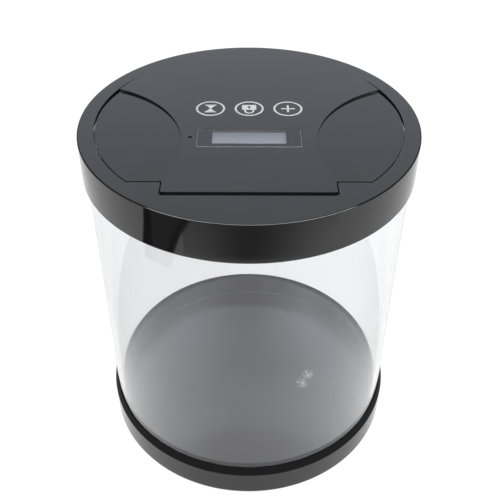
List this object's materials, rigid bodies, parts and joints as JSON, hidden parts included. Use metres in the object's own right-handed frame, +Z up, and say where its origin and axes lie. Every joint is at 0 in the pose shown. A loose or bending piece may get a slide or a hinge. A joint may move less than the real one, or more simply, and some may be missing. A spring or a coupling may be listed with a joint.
{
  "type": "timed lock container",
  "caption": "Clear cylindrical container with a black base, and a black lid collar whose hinged flap carries a display, touch keys and a motor-driven bolt.",
  "frame": {"origin": "centre of the rest plane, on the axis of the tube", "axes": "+Z up along the tube; the hinge of the flap is on the -Y side, the user stands on the +Y side and the bolt leaves the flap towards +Y"},
  "size_m": [0.19, 0.19, 0.217],
  "materials": {
    "black_gloss": "high gloss moulded",
    "black_satin": "fine spark texture",
    "clear_tube": "clear polished acrylic",
    "foot_rubber": "matte",
    "bright_steel": "plated",
    "dark_screw": "black oxide",
    "window_lens": "clear lens with a dark surround",
    "display_glass": "liquid crystal, blank",
    "board_green": "solder resist",
    "chip_black": "moulded package",
    "electrode_foam": "conductive foam",
    "gearbox_brass": "pressed",
    "white_gear": "moulded",
    "bolt_grey": "moulded, slightly slippery",
    "cell_wrap": "shrink wrap"
  },
  "bodies": {
    "container": {"base_cup": "black_gloss", "foot_pads": "foot_rubber", "tube": "clear_tube", "lid_collar": "black_gloss", "hinge_pin": "bright_steel"},
    "flap": {"flap_top_cover": "black_gloss", "flap_bottom_cover": "black_satin", "display_window": "window_lens", "display_panel": "display_glass", "circuit_board": "board_green", "board_parts": "chip_black", "touch_electrodes": "electrode_foam", "sounder": "chip_black", "gearbox_case": "gearbox_brass", "motor_can": "bright_steel", "motor_strap": "bright_steel", "bolt_guide": "black_satin", "cells": "cell_wrap", "cell_contacts": "bright_steel", "cover_screws": "dark_screw", "board_screws": "bright_steel", "guide_screws": "bright_steel", "strap_screws": "bright_steel"},
    "bolt": {"latch_bolt": "bolt_grey"},
    "pinion": {"drive_pinion": "white_gear", "output_shaft": "bright_steel"},
    "door": {"cell_door": "black_satin"}
  },
  "joints": [
    {"name": "flap_hinge", "type": "hinge", "parent": "container", "child": "flap", "pos_m": [0, -0.066, 0.2128], "axis": [1, 0, 0], "range_deg": [0, 100]},
    {"name": "bolt_slide", "type": "slide", "parent": "flap", "child": "bolt", "axis": [0, 1, 0], "range_m": [0, 0.007]},
    {"name": "pinion_spin", "type": "hinge", "parent": "flap", "child": "pinion", "pos_m": [0, 0.062, 0.20309], "axis": [-1, 0, 0], "range_deg": [0, 96]},
    {"name": "cell_door_lift", "type": "slide", "parent": "flap", "child": "door", "axis": [0, 0, -1], "range_m": [0, 0.015]}
  ],
  "couplings": [
    {"joint": "pinion_spin", "follows": "bolt_slide", "rad_per_m": 238.1}
  ]
}
